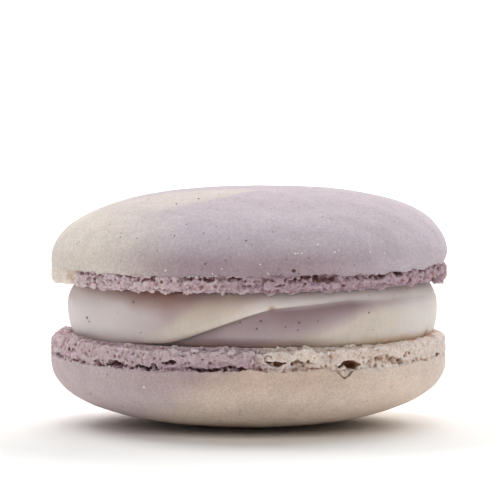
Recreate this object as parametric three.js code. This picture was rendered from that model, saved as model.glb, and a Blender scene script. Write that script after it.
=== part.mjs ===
// A French macaron in millimetres, +Z up, lying on the crown of its lower shell.
// Two domed almond meringue shells, each with the ragged foot that it rose on, hold a
// piped buttercream filling between their flat undersides. Three solids, one for each
// baked shell and one for the filling. The origin is the middle of the resting spot.
import * as THREE from "three";
import { ImprovedNoise } from "three/addons/math/ImprovedNoise.js";

const { clamp, degToRad, euclideanModulo, lerp, radToDeg, seededRandom, smoothstep } =
  THREE.MathUtils;

// Driving dimensions.
const shellRadius = 22.5; // smooth skin of both shells, where it is widest
const restRadius = 5; // the lower crown is flat inside this radius
const lowerDomeHeight = 7.85; // crown to the edge of the skin
const lowerFootHeight = 2.5; // edge of the skin to the flat underside
const fillingThickness = 6.1; // between the two undersides, at the axis
const upperFootHeight = 1.9;
const upperDomeHeight = 8.65;
const upperTilt = degToRad(-0.2); // the +X side stands higher
const crownLean = 1.6; // the upper crown lies this far off the axis, towards +X
const fillingRadius = 21;
const fillingShift = 0.42; // the filling was piped a little off centre, towards +X
const joinGap = 0.1; // clear space between the filling and each shell

// Fullness of each dome's shoulders: 2 is a plain ellipse, more is boxier.
const lowerFullness = 2.3;
const upperFullness = 2.55;

// Unevenness: how wide the lumps are and how far they stand out.
const skinWave = { size: 11, height: 0.18 };
const crumbCoarse = { size: 2.3, height: 0.65 };
const crumbFine = { size: 1.25, height: 0.5 };
const footHang = { size: 2.7, height: 1 };
const lipChip = { size: 1.6, height: 0.12 };
const fillingWave = { size: 9, height: 0.14 };

const shellSteps = 150; // facets round a shell
const fillingSteps = 120; // facets round the filling

const upperBaseHeight = lowerDomeHeight + lowerFootHeight + fillingThickness;

const perlin = new ImprovedNoise();
const noiseGain = 1.6; // brings the noise up to a reach of about 1 either way

// How far unevenness of one kind stands out at a point.
function relief({ size, height }, x, y, z) {
  return height * noiseGain * perlin.noise(x / size, y / size, z / size);
}

// A solid of revolution about Z through the rows' [radius, height] points, with each
// vertex then moved by shape(row, angle), which gives [radius, height, shift along X].
function turned(rows, steps, shape) {
  const outline = rows.map((row) => new THREE.Vector2(row.radius, row.height));
  const geometry = new THREE.LatheGeometry(outline, steps);
  const position = geometry.getAttribute("position");
  for (let i = 0; i < position.count; i++) {
    const row = rows[i % rows.length];
    const step = Math.floor(i / rows.length) % steps;
    const angle = (step / steps) * 2 * Math.PI;
    const onAxis = row.radius === 0;
    const [radius, height, shift = 0] = onAxis ? [0, row.height, row.shift] : shape(row, angle);
    position.setXYZ(i, radius * Math.cos(angle) + shift, radius * Math.sin(angle), height);
  }
  geometry.computeVertexNormals();
  return geometry;
}

// The air pockets that open under the edge of the skin: where, how wide and how deep.
// They are spread evenly round the rim with a seeded jitter, and the large ones added.
function airPockets({ pocketCount, largePockets, seed }) {
  seededRandom(seed);
  const small = Array.from({ length: pocketCount }, (_, i) => ({
    angle: ((i + seededRandom()) / pocketCount) * 2 * Math.PI,
    halfWidth: lerp(0.6, 1.9, seededRandom() ** 2),
    depth: lerp(0.4, 1.2, seededRandom()),
  }));
  const large = largePockets.map(({ degrees, halfWidth, depth }) => ({
    angle: degToRad(degrees),
    halfWidth,
    depth,
  }));
  return [...small, ...large];
}

// How deep the air pockets bite into the foot at an angle.
function pocketDepth(pockets, angle) {
  let deepest = 0;
  for (const pocket of pockets) {
    const turn = euclideanModulo(angle - pocket.angle + Math.PI, 2 * Math.PI) - Math.PI;
    const across = (turn * shellRadius) / pocket.halfWidth;
    deepest = Math.max(deepest, pocket.depth * Math.exp(-across * across));
  }
  return deepest;
}

// The foot, from the flat underside out and up to the edge of the skin, then the thin
// lip in which the skin ends. inset is the distance inside shellRadius and share is of
// the foot's height. crag moves a row in and out, hang moves it up and down, pocket is
// how far air pockets bite into it and lip is how much the skin's chips show in it.
const footRows = [
  { inset: shellRadius, share: 0 },
  { inset: 2, share: 0 },
  { inset: 1.3, share: 0.02, crag: 0.15, hang: 0.1 },
  { inset: 0.7, share: 0.06, crag: 0.35, hang: 0.3 },
  { inset: 0.3, share: 0.22, crag: 0.45, hang: 0.25 },
  { inset: 0.2, share: 0.42, crag: 0.5, hang: 0.2 },
  { inset: 0.4, share: 0.6, crag: 0.45, hang: 0.2, pocket: 0.4 },
  { inset: 0.7, share: 0.76, crag: 0.3, hang: 0.15, pocket: 1 },
  { inset: 0.75, share: 0.92, crag: 0.1, hang: 0.05, pocket: 1 },
  { inset: 0.3, share: 0.96, lip: 1 },
  { inset: 0.1, share: 1.1, lip: 0.8 },
];

// The dome, from its edge to its crown: a superellipse, level inside flatRadius.
function domeRows({ domeHeight, footHeight, fullness, flatRadius, lean }) {
  const top = footHeight + domeHeight;
  const at = (degrees) => {
    const rise = Math.sin(degToRad(degrees)) ** (2 / fullness);
    const radius = shellRadius * Math.cos(degToRad(degrees)) ** (2 / fullness);
    return { radius, height: footHeight + domeHeight * rise, rise };
  };
  const slope = [4, 10, 19, 30, 43, 58, 74].map(at);
  const flat = { radius: flatRadius, height: top, rise: 1 };
  const crown = { radius: 0, height: top, shift: lean };
  return flatRadius ? [...slope, flat, crown] : [...slope, crown];
}

// One shell, its flat underside at height 0 and its crown up.
function shellGeometry(form) {
  const { footHeight, seed, lean } = form;
  const pockets = airPockets(form);
  const rim = footRows.map((row) => ({
    ...row,
    radius: shellRadius - row.inset,
    height: row.share * footHeight,
  }));
  const layer = seed * 10; // each shell takes its own layer of the noise

  return turned([...rim, ...domeRows(form)], shellSteps, (row, angle) => {
    const x = shellRadius * Math.cos(angle);
    const y = shellRadius * Math.sin(angle);
    const z = row.height + layer;
    if (row.rise) {
      const swell = Math.sin(row.rise * Math.PI) * relief(skinWave, x, y, z);
      return [row.radius + swell, row.height + swell, lean * row.rise ** 2];
    }
    const { crag = 0, hang = 0, pocket = 0, lip = 0 } = row;
    const crumb = relief(crumbCoarse, x, y, z) + relief(crumbFine, x, y, z);
    const bite = pocket * pocketDepth(pockets, angle);
    const chip = lip * relief(lipChip, x, y, layer);
    return [
      row.radius + crag * crumb - bite + chip / 2,
      row.height + hang * relief(footHang, x, y, layer) + chip,
    ];
  });
}

// Where the piped strand laps over its own start, round the filling: a fold that
// starts at the lower shell near the front and climbs to the upper shell on the
// right. share is the fold's height, step how far the upper lap stands proud of the
// lower one there, and notch how deep the fold is cut.
const foldPath = [
  { degrees: 225, share: 0.03, step: 0, notch: 0 },
  { degrees: 243, share: 0.04, step: 0.8, notch: 0.3 },
  { degrees: 252, share: 0.22, step: 1, notch: 0.5 },
  { degrees: 264, share: 0.48, step: 0.7, notch: 0.45 },
  { degrees: 275, share: 0.69, step: 0.4, notch: 0.4 },
  { degrees: 290, share: 0.81, step: 0.1, notch: 0.5 },
  { degrees: 305, share: 0.84, step: -0.25, notch: 0.6 },
  { degrees: 330, share: 0.84, step: -0.6, notch: 0.7 },
  { degrees: 375, share: 0.85, step: -0.5, notch: 0.5 },
  { degrees: 425, share: 0.75, step: 0, notch: 0 },
  { degrees: 520, share: 0.3, step: 0, notch: 0 },
];

// The fold at an angle, eased between the two points of the path on either side.
function foldAt(angle) {
  const start = foldPath[0].degrees;
  const degrees = start + euclideanModulo(radToDeg(angle) - start, 360);
  const closed = [...foldPath, { ...foldPath[0], degrees: start + 360 }];
  const next = closed.findIndex((point) => point.degrees > degrees);
  const [from, to] = [closed[next - 1], closed[next]];
  const along = (degrees - from.degrees) / (to.degrees - from.degrees);
  const eased = smoothstep(along, 0, 1);
  return {
    share: lerp(from.share, to.share, along),
    step: lerp(from.step, to.step, eased),
    notch: lerp(from.notch, to.notch, eased),
  };
}

// Height of the filling's upper face at x, which follows the tilted upper shell.
function fillingTop(x) {
  return fillingThickness - joinGap - x * Math.tan(upperTilt);
}

// The filling's side at a share up one of its two laps: [radius, height]. The side is
// one bulge from shell to shell, cut by the notch of the fold, and the lap that lies
// behind the other is set back from it.
function lapPoint(lap, up, angle) {
  const tuck = 0.75; // how far the side rolls in where it meets a shell
  const bulgePower = 2.6; // how full the roll is
  const foldGap = 0.08; // the lower lap stops this far under the upper lap
  const lapMin = { lower: 0.2, upper: 0.3 }; // neither lap is thinner than this
  const notchShare = { lower: 1, upper: 0.45 }; // how much of the notch each lap gives

  const fold = foldAt(angle);
  const top = fillingTop(fillingRadius * Math.cos(angle) + fillingShift);
  const foldHeight = lerp(joinGap + lapMin.lower, top - lapMin.upper, clamp(fold.share, 0, 1));
  const isUpper = lap === "upper";
  const height = isUpper
    ? lerp(foldHeight, top, up)
    : lerp(joinGap, foldHeight - foldGap, up);

  const fromMiddle = Math.abs((2 * (height - joinGap)) / (top - joinGap) - 1);
  const roll = tuck * fromMiddle ** bulgePower;
  const towardsFold = isUpper ? 1 - up : up;
  const notch = fold.notch * notchShare[lap] * towardsFold ** 3;
  const setBack = Math.max(isUpper ? -fold.step : fold.step, 0);
  const x = fillingRadius * Math.cos(angle);
  const y = fillingRadius * Math.sin(angle);
  const swell = relief(fillingWave, x, y, height);
  return [fillingRadius - roll - notch - setBack + swell, height];
}

// The filling, its lower face at height joinGap.
function fillingGeometry() {
  const faceRadius = fillingRadius * 0.7; // the flat faces are level inside this
  const shares = [0, 0.11, 0.33, 0.6, 0.84, 1];
  const lapRows = (lap, height) =>
    shares.map((up) => ({ radius: fillingRadius, height: height + up, up, lap }));
  const middle = fillingThickness / 2;
  const rows = [
    { radius: 0, height: joinGap, shift: fillingShift },
    { radius: faceRadius, height: joinGap },
    ...lapRows("lower", middle - 1),
    ...lapRows("upper", middle + 0.1),
    { radius: faceRadius, height: fillingThickness, isTop: true },
    { radius: 0, height: fillingTop(fillingShift), shift: fillingShift },
  ];
  return turned(rows, fillingSteps, (row, angle) => {
    if (row.lap) return [...lapPoint(row.lap, row.up, angle), fillingShift];
    const x = row.radius * Math.cos(angle) + fillingShift;
    return [row.radius, row.isTop ? fillingTop(x) : joinGap, fillingShift];
  });
}

function matte(colour, roughness) {
  return new THREE.MeshStandardMaterial({ color: colour, roughness, metalness: 0 });
}

function piece(name, geometry, material) {
  const mesh = new THREE.Mesh(geometry, material);
  mesh.name = name;
  return mesh;
}

const lowerShell = piece(
  "shell_lower",
  shellGeometry({
    domeHeight: lowerDomeHeight,
    footHeight: lowerFootHeight,
    fullness: lowerFullness,
    flatRadius: restRadius,
    lean: 0,
    pocketCount: 42,
    largePockets: [{ degrees: 62, halfWidth: 1, depth: 1.9 }],
    seed: 2,
  }),
  matte(0xcbb8b4, 0.85),
);
lowerShell.rotation.x = Math.PI; // crown down
lowerShell.position.z = lowerDomeHeight + lowerFootHeight;

const filling = piece("filling", fillingGeometry(), matte(0xcfc0ba, 0.55));
filling.position.z = lowerDomeHeight + lowerFootHeight;

const upperShell = piece(
  "shell_upper",
  shellGeometry({
    domeHeight: upperDomeHeight,
    footHeight: upperFootHeight,
    fullness: upperFullness,
    flatRadius: 0,
    lean: crownLean,
    pocketCount: 38,
    largePockets: [
      { degrees: 256, halfWidth: 1.6, depth: 1.4 },
      { degrees: 293, halfWidth: 1.3, depth: 1.5 },
      { degrees: 310, halfWidth: 0.7, depth: 1.2 },
    ],
    seed: 5,
  }),
  matte(0xc9bcc4, 0.85),
);
const upperPart = new THREE.Group();
upperPart.position.z = upperBaseHeight;
upperPart.rotation.y = upperTilt;
upperPart.add(upperShell);

const macaron = new THREE.Group();
macaron.name = "macaron";
macaron.add(lowerShell, filling, upperPart);

export default macaron;
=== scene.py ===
# A French macaron: two marbled almond meringue shells, each with its ragged foot, round
# a piped buttercream filling. Shapes are worked out in millimetres and become metres in
# makePiece(). Degrees go anticlockwise from +X, so 270 is the front and 360 the right.
import itertools
import math

import bmesh
import bpy
import numpy as np
import openvdb
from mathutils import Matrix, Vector, noise


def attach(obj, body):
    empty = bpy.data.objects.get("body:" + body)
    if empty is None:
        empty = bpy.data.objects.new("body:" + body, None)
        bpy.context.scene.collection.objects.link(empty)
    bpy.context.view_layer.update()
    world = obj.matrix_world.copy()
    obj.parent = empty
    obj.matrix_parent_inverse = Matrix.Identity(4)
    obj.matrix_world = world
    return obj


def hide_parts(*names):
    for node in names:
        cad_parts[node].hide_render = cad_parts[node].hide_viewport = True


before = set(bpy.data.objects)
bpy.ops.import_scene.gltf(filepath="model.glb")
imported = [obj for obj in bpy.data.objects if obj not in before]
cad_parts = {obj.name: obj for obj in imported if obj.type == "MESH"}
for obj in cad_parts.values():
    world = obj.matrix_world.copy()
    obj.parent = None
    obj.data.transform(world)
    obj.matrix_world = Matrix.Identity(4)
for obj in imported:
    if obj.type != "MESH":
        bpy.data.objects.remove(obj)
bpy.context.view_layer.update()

scene = bpy.context.scene
shellRadius = 22.5  # smooth skin of both shells, where it is widest
baseTop = 10.35  # the lower shell's flat underside, which faces up
fillingHeight = 6.1


def lumps(points, size, shift=0.0):
    # smooth noise from about -1 to 1, in lumps about size mm across
    return np.array([noise.noise(p) for p in (points / size + shift).tolist()]) * 1.6


def ease(low, high, value):
    # 0 at low and 1 at high, with a soft start and end; low may be the larger one
    part = np.clip((value - low) / (high - low), 0, 1)
    return part * part * (3 - 2 * part)


def onRim(degrees, radius, height):
    angle = np.radians(degrees)
    return np.stack([radius * np.cos(angle), radius * np.sin(angle), height + 0 * angle], -1)


def arcBetween(degrees, centre):
    # signed distance in mm along the rim from a centre given in degrees
    return (np.mod(degrees - centre + 180, 360) - 180) * math.pi / 180 * shellRadius


def cutsAt(cuts, degrees):
    # how deep a row of cuts goes at each angle; each is degrees, half width and depth
    return sum(deep * np.exp(-np.abs(arcBetween(degrees, at) / wide) ** 1.8) for at, wide, deep in cuts)


def nearSpots(points, spots):
    # 1 at the middle of each spot, fading out; a spot is degrees, radius, z and size
    near = np.zeros(len(points))
    for degrees, out, z, size in spots:
        apart = np.linalg.norm(points - onRim(degrees, out, z), axis=1)
        near = np.maximum(near, np.exp(-((apart / size) ** 2)))
    return near


def roughness(shell, degrees):
    # 1 where the foot is open crumb, and less where it stayed shut
    low, high, shut = shell["smooth"]
    turn = np.mod(degrees - low, 360)
    return 1 - shut * ease(0, 8, turn) * ease(high - low, high - low - 4, turn)


def placeShell(shell, points):
    # from a shell's own frame, underside at 0 and crown up, to its place in the macaron
    x, y, h = points.T
    if shell["half"] == "lower":
        return np.column_stack([x, y, shell["base"] - h])
    cosine, sine = math.cos(math.radians(shell["tilt"])), math.sin(math.radians(shell["tilt"]))
    return np.column_stack([x * cosine + h * sine, y, shell["base"] - x * sine + h * cosine])


def newObject(name, data):
    holder = bpy.data.objects.new(name, data)
    scene.collection.objects.link(holder)
    return holder


def makePiece(name, points, faces, marks, material, node=None):
    # a mesh from points in mm; where it stands for a node of the CAD model, node says which
    mesh = bpy.data.meshes.new(name)
    mesh.from_pydata((points / 1000).tolist(), [], faces)
    mesh.polygons.foreach_set("use_smooth", np.ones(len(mesh.polygons), bool))
    for key, values in marks.items():
        mark = mesh.attributes.new(key, "FLOAT", "POINT")
        mark.data.foreach_set("value", np.asarray(values, np.float32))
    mesh.materials.append(material)
    mesh.update()
    piece = newObject(name, mesh)
    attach(piece, "root")
    if node:
        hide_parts(node)
    print(name, len(faces), "faces")


def makeShellPiece(kind, shell, points, faces, marks, material):
    half = shell["half"]
    if half == "lower":
        faces = [face[::-1] for face in faces]
    makePiece(f"{kind}_{half}", points, faces, marks, material, f"shell_{half}")


# The two shells. Cuts are degrees, half width and depth: a notch is a bite out of the
# skin's edge, or a drip where its depth is less than 0, a bite is one out of the foot's
# flat side, and the foot's own side is sunk in, or undercut at the flat side. A pocket is
# a crevice of the foot: degrees, height over the skin's edge, half width, half height,
# depth. Behind, otherPockets more are drawn at random.
lowerShell = {
    "half": "lower", "base": baseTop, "tilt": 0.0, "lean": 0.0, "seed": 2,
    "domeHeight": 7.85, "footHeight": 2.5, "fullness": 2.3, "flatRadius": 5.0,
    "curl": (0.05, 0.05),  # how far the skin turns in at its edge: everywhere, and more at +X
    "bulge": 0.0,  # and how far it stands out above it at +X
    "footInset": ([-0.2, 0, 0.1, 0.25, 0.5, 0.7, 0.85, 1.0, 1.1],
                  [1.6, 0.7, 0.32, 0.12, 0.06, 0.16, 0.28, 0.16, 0.3]),
    "evenSides": 0.9,  # how much less painted edge shade its rim has at the left and right, where its painted crown shade reaches lower
    "paintedFootShade": ([-17, -8, 4, 12], [0, 1, 0.7, 0], 0.4),  # where the foot gets painted shade and is greyer: x, share, lowest height
    "smooth": (306, 372, 0.45),  # where the foot stayed shut: degrees, and how much less crumb it has
    "ribs": [], "sunk": [], "undercut": [], "proud": 0.0,
    "notches": [(298.3, 0.85, 1.0), (226, 1.6, 0.1), (236, 1.5, 0.14), (243, 1.2, 0.2), (258, 2.0, 0.12),
                (270, 0.9, -0.26), (290, 1.0, -0.24), (310, 0.9, 0.3), (328, 1.6, -0.25), (344, 1.8, -0.4)],
    "bites": [(200, 2.0, -0.2), (222, 3.5, 0.2), (240, 4.5, 0.32), (258, 4.5, 0.32), (276, 4.5, 0.32),
              (294, 4.5, 0.32), (309, 3.0, 0.2), (340, 2.5, -0.25), (353, 2.5, -0.25)],
    # crumb behind the skin where the deepest notch opens: degrees, half width, height, set back
    "backing": (298.3, 1.6, 1.5, 0.6),
    "toasts": [(341, 21.4, 10.6, 0.6), (330, 21.3, 10.4, 0.35)],  # browned spots: degrees, radius, z, size
    "gapShadows": [(at, 20.9, 10.2, 0.55) for at in range(204, 230, 4)],  # painted shadow spots on the ledge where the filling lifts off
    "pockets": [
        (203, -0.7, 0.8, 0.4, 0.6), (208, -1.3, 0.6, 0.35, 0.5), (214, -0.3, 0.7, 0.34, 0.8),
        (221, -0.35, 0.8, 0.36, 0.8), (228, -0.35, 1.7, 0.42, 1.4), (240, -0.25, 1.9, 0.34, 1.5),
        (247, -0.85, 0.8, 0.34, 1.2), (247.5, 0.0, 0.4, 0.2, 0.6), (253, -0.5, 0.6, 0.24, 0.9),
        (258, -0.2, 1.6, 0.34, 1.4), (265.5, -0.3, 1.6, 0.4, 1.4), (272, -0.3, 0.8, 0.28, 0.9),
        (278, -1.05, 0.9, 0.42, 1.2), (285.5, -0.85, 1.3, 0.4, 1.0), (292, -0.45, 0.7, 0.3, 0.8),
        (300, -0.5, 1.3, 0.45, 2.4), (298.5, 0.3, 0.8, 0.45, 0.9), (306, -0.75, 0.8, 0.26, 0.7),
        (312, -0.85, 0.8, 0.6, 0.7), (317.5, -0.6, 0.8, 0.5, 0.9), (322, -1.3, 0.8, 0.3, 0.6),
        (328, -0.5, 1.0, 0.36, 0.8), (341.5, -0.6, 1.2, 0.32, 0.9),
    ],
    "otherPockets": 26,
}
upperShell = {
    "half": "upper", "base": baseTop + fillingHeight, "tilt": -0.2, "lean": 1.6, "seed": 5,
    "domeHeight": 8.65, "footHeight": 1.9, "fullness": 2.55, "flatRadius": 0.0,
    "curl": (0.15, 0.1), "bulge": 0.18, "evenSides": 0.9, "paintedFootShade": ([-10, 2], [0, 1], -2),
    "footInset": ([-0.2, 0, 0.15, 0.35, 0.6, 0.8, 0.9, 1.0, 1.15],
                  [1.3, 0.6, 0.24, 0.12, 0.1, 0.16, 0.18, 0.12, 0.3]),
    "smooth": (150, 211, 0.85),
    "ribs": [(321, 0.3), (326, 0.4), (333.5, 0.5), (346, 0.7), (354, 0.75), (2, 0.6)],  # degrees, radius
    "sunk": [(347, 5.5, 0.35)], "undercut": [(355, 9.0, 0.8)],
    "proud": 0.35,  # how far the foot may stand out past the skin
    "toasts": [(208, 22.2, 17.5, 0.5), (339, 22.1, 17.5, 0.35)], "gapShadows": [],
    "notches": [(253.6, 1.0, 0.1), (263, 1.5, 0.1), (289.5, 2.0, 0.14), (300, 1.3, -0.14), (307, 0.8, -0.1),
                (312, 0.7, -0.25), (316.5, 0.5, 0.12), (321, 0.7, -0.2), (327, 1.2, 0.1), (341, 1.6, 0.4)],
    "bites": [(197, 1.5, 0.2), (208, 2.5, 0.3), (218, 1.6, 0.25), (230, 1.5, 0.35), (245.5, 1.5, 0.5),
              (242, 6.0, 0.1), (264, 5.0, 0.25), (274, 1.8, 0.35), (288, 5.0, 0.5), (306, 5.0, 0.65),
              (323, 5.0, 0.75), (340, 4.0, 0.65), (352, 3.0, 0.3)],
    "backing": (316.5, 1.5, 0.6, 0.3),
    "pockets": [
        (213, -0.15, 0.5, 0.3, 0.5), (218, -0.2, 0.7, 0.28, 0.5), (224.5, -0.3, 0.7, 0.3, 0.4),
        (232.5, -0.25, 1.4, 0.3, 0.6), (240.5, -0.4, 0.8, 0.42, 0.7), (246.5, -0.2, 0.26, 0.22, 0.7),
        (253.6, -0.3, 1.1, 0.36, 0.8), (258.3, -0.28, 1.0, 0.32, 0.8), (266, -0.35, 1.3, 0.36, 0.6),
        (274, -0.3, 1.0, 0.3, 0.5), (283, -0.35, 1.3, 0.32, 0.6), (290.8, -0.4, 2.2, 0.5, 1.0),
        (291.5, -0.55, 1.2, 0.5, 1.1), (299.3, -0.25, 0.9, 0.24, 0.7), (303.5, -0.35, 0.9, 0.34, 0.7),
        (309.5, -0.3, 1.1, 0.4, 0.8), (318, -0.4, 0.6, 0.6, 1.1), (323, -0.3, 0.4, 0.42, 0.8),
        (329.5, -0.15, 0.8, 0.45, 1.0), (340, 0.0, 1.1, 0.4, 0.9),
    ],
    "otherPockets": 20,
}


# Marbling: how much of the cream batter shows at a point, from 0 lavender to 1 cream.
topSwirl = {
    "x": [-22, -16, -11, -5.4, -2.6, 0.1, 1.2],  # the wedge of cream over the upper crown
    "middle": [-6, -7, -8, -7.8, -7, -5, -4.5],
    "halfWidth": [8, 7, 4.2, 4.2, 3, 0.8, 0],
    "strength": 0.75,
    "leftEdge": (-7.5, -17.5),  # cream fades in towards the left end
}


def creamOnTop(points):
    warp = 0.7 * lumps(points, 5.5) + 0.3 * lumps(points, 1.8)
    x, y, z = points[:, 0] + warp, points[:, 1] + 0.8 * warp, points[:, 2]
    middle = np.interp(x, topSwirl["x"], topSwirl["middle"])
    halfWidth = np.interp(x, topSwirl["x"], topSwirl["halfWidth"])
    soft = np.interp(x, [-16, -6], [4.0, 1.6])
    wedge = ease(halfWidth + soft, halfWidth - 1.2, np.abs(y - middle)) * ease(22.5, 24.5, z)
    wedge *= ease(0, 1.5, halfWidth) * topSwirl["strength"]
    left = ease(*topSwirl["leftEdge"], x + 0.12 * (y + 8))
    behind = ease(3.4, 1.0, np.abs(y - 11 - 0.25 * x)) * ease(12, 2, x) * ease(-20, -10, x)
    return np.clip(np.maximum.reduce([wedge, left, 0.7 * behind]), 0, 1)


def creamOnBase(points):
    warp = 1.0 * lumps(points, 7) + 0.35 * lumps(points, 2.2)
    x, y, z = points[:, 0] + warp, points[:, 1], points[:, 2]
    edge = np.interp(z, [0.5, 5, 8], [-12, -8, -2.5]) + 8 * ease(-4, 20, y)
    right = ease(edge - 4.5, edge + 5.5, x)
    return right * (1 - 0.25 * ease(16, 23, x))


def creamOnBaseFoot(points):
    x = points[:, 0] + 0.8 * lumps(points, 2.5)
    edge = 1.5 + 8 * ease(-4, 20, points[:, 1])
    return ease(edge - 1.3, edge + 1.3, x) * (1 - 0.15 * ease(16, 23, x))


def creamOnTopFoot(points):
    x = points[:, 0] + 0.5 * lumps(points, 2.0)
    return ease(-18.0, -20.0, x)


# The smooth skin of a shell. Lip is the rows of its edge and its hidden inside: inset from
# the edge, and height over it.
skin = {
    "rings": 134,  # steps from crown to edge; the edge has eight times as many round it
    "wave": (0.18, 11),  # height and size of the unevenness, mm
    "dimples": [(0.035, 2.6), (0.014, 0.8)],
    "pits": 110, "pitRadius": (0.18, 0.4), "pitDepth": (0.03, 0.09),
    "lip": [(0.04, -0.05), (0.12, -0.08), (0.25, -0.04), (0.5, 0.08), (1.2, 0.28), (2.6, 0.45), (4.5, 0.55)],
    "chips": [(0.07, 1.7), (0.1, 0.55), (0.07, 0.27)],
}


def discNet(rings):
    # a square net of quads bent into a disc: ring and angle of each vertex, and the quads
    side = np.arange(-rings, rings + 1)
    i, j = (grid.ravel() for grid in np.meshgrid(side, side, indexing="ij"))
    ring = np.maximum(abs(i), abs(j))
    wide = abs(i) >= abs(j)
    larger, smaller = np.where(wide, i, j), np.where(wide, j, i)
    turn = smaller / np.where(larger == 0, 1, larger) * math.pi / 4
    angle = np.where(wide, turn, math.pi / 2 - turn) + np.where(larger < 0, math.pi, 0)
    row = 2 * rings + 1
    start = (np.arange(row - 1)[:, None] * row + np.arange(row - 1)).ravel()
    quads = np.column_stack([start, start + row, start + row + 1, start + 1])
    return ring, np.degrees(angle) % 360, quads


def fan(loop, centre):
    # triangles from a closed loop of vertices to one in its middle
    return [[int(b), int(a), centre] for a, b in zip(loop, np.roll(loop, -1))]


def domeOutline(shell, rings):
    # radius and height from crown to edge, at even steps along the superellipse
    t = np.linspace(math.pi / 2, 0, 3000)
    power = 2 / shell["fullness"]
    radius = shellRadius * np.clip(np.cos(t), 0, 1) ** power
    rise = shell["domeHeight"] * np.sin(t) ** power
    if shell["flatRadius"]:
        level = ease(shell["flatRadius"] + 3, shell["flatRadius"], radius)
        rise += (shell["domeHeight"] - rise) * level
    length = np.concatenate([[0], np.cumsum(np.hypot(np.diff(radius), np.diff(rise)))])
    even = np.linspace(0, length[-1], rings + 1)
    return np.interp(even, length, radius), np.interp(even, length, rise)


def edgeLift(shell, degrees):
    # how far the edge of the skin lies over its mean height, round the rim
    at = onRim(degrees, shellRadius, 10.0 * shell["seed"])
    lift = sum(height * lumps(at, size) for height, size in skin["chips"])
    return lift * roughness(shell, degrees) + cutsAt(shell["notches"], degrees)


def edgeRadius(shell, degrees):
    return shellRadius - shell["curl"][0] - shell["curl"][1] * np.cos(np.radians(degrees))


def makeSkin(shell, creamAt, material):
    rings, foot, dome = skin["rings"], shell["footHeight"], shell["domeHeight"]
    ring, degrees, quads = discNet(rings)
    radiusAt, riseAt = domeOutline(shell, rings)
    radius, rise = radiusAt[ring], riseAt[ring]

    # rows under the lip, each a copy of the rim's vertices
    rim = np.flatnonzero(ring == rings)
    rim = rim[np.argsort(degrees[rim])]
    count, first = len(rim), len(ring)
    inset, up = np.transpose(skin["lip"])
    loops = [rim] + [first + k * count + np.arange(count) for k in range(len(up))]
    faces = [quads]
    for outer, inner in zip(loops, loops[1:]):
        faces.append(np.column_stack([outer, inner, np.roll(inner, -1), np.roll(outer, -1)]))
    faces = np.concatenate(faces).tolist() + fan(loops[-1], first + len(up) * count)
    degrees = np.concatenate([degrees, np.tile(degrees[rim], len(up)), [0]])
    radius = np.concatenate([radius, np.repeat(shellRadius - inset, count), [0]])
    rise = np.concatenate([rise, np.repeat(up, count), up[-1:]])

    # the edge: chipped and notched, and turned in a little under a slight bulge
    curl = shell["curl"][0] + shell["curl"][1] * np.cos(np.radians(degrees))
    lift = np.where(radius > shellRadius - 3, edgeLift(shell, degrees), 0)
    lean = shell["lean"] * np.clip(rise / dome, 0, 1) ** 2
    radius = radius - curl * ease(1.5, 0, rise) * (radius > 1)
    bulge = shell["bulge"] * ease(0, 1, np.cos(np.radians(degrees)))
    radius = radius + bulge * ease(0.1, 1.2, rise) * ease(5, 2, rise)
    points = onRim(degrees, radius, foot + rise + lift * ease(2.2, 0, rise))
    points[:, 0] += lean

    # relief, outwards from the middle of the shell
    outwards = points - np.array([0, 0, foot - 6])
    outwards /= np.linalg.norm(outwards, axis=1)[:, None]
    at = points + np.array([0, 0, 10.0 * shell["seed"]])
    share = np.clip(rise / dome, 0, 1)
    height, size = skin["wave"]
    swell = height * lumps(at, size) * np.sin(share * math.pi)
    fine = sum(height * lumps(at, size) for height, size in skin["dimples"])
    rng = np.random.default_rng(shell["seed"])
    for pick in rng.integers(0, first, skin["pits"]):
        reach, depth = rng.uniform(*skin["pitRadius"]), rng.uniform(*skin["pitDepth"])
        apart = np.linalg.norm(points - points[pick], axis=1)
        fine -= depth * np.exp(-((apart / reach) ** 3))
    if shell["flatRadius"]:
        fine *= ease(shell["flatRadius"], shell["flatRadius"] + 3, radius)
    points += outwards * (swell + fine)[:, None]

    world = placeShell(shell, points)
    sides = shell["evenSides"] * ease(6, 18, np.abs(world[:, 0]))
    # crown and edge are painted shade: the crown and the rim above the foot are darkened to even out how the
    # light falls over the dome
    marks = {"cream": creamAt(world), "crown": ease(0.6 - 0.35 * sides, 1.0, share),
             "edge": ease(0.45, 0.1, share) * (1 - sides)}
    makeShellPiece("skin", shell, world, faces, marks, material)
    facing = placeShell(shell, points + outwards) - world
    return world[:first], facing[:first]


# The foot: porous crumb, cut out of a fine grid of cells so that it has real hollows.
crumb = {
    "cell": 0.1,  # mm
    "inner": 19.6,  # radius inside which the foot is hidden
    "ledge": ([20.3, 21.4], [0, 1]),  # radii between which its flat side starts to be uneven
    "swells": [(0.22, 2.3), (0.15, 1.1)],  # height and size of the unevenness, mm
    "creases": [(0.3, 1.3), (0.15, 0.55), (0.07, 0.28)],  # rounded lumps with sharp creases between
    "nodules": 150, "noduleRadius": (0.3, 0.6),
    "dimples": 900, "dimpleRadius": (0.12, 0.34),  # burst bubbles
    "granules": 5200, "granuleRadius": (0.08, 0.18),
    "pores": 240, "poreRadius": (0.08, 0.14),
    "edgeCrumbs": 900, "edgeCrumbRadius": (0.08, 0.16),  # that hide the skin's edge here and there
    "around": 3,  # cells to each side that tell a crease from a peak
    "faces": 196000,  # triangles kept
}


def gridNoise(shape, size, rng):
    # smooth random lumps about size across, from -1 to 1, on a whole block of cells
    cell = crumb["cell"]
    values = rng.uniform(-1, 1, [int(n * cell / size) + 2 for n in shape])
    for axis, n in enumerate(shape):
        at = np.arange(n) * cell / size
        low = at.astype(int)
        part = (at - low) ** 2 * (3 - 2 * (at - low))
        part = part.reshape([-1 if a == axis else 1 for a in range(3)]).astype(np.float32)
        values = values.astype(np.float32)
        values = np.take(values, low, axis) * (1 - part) + np.take(values, low + 1, axis) * part
    return values


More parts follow.
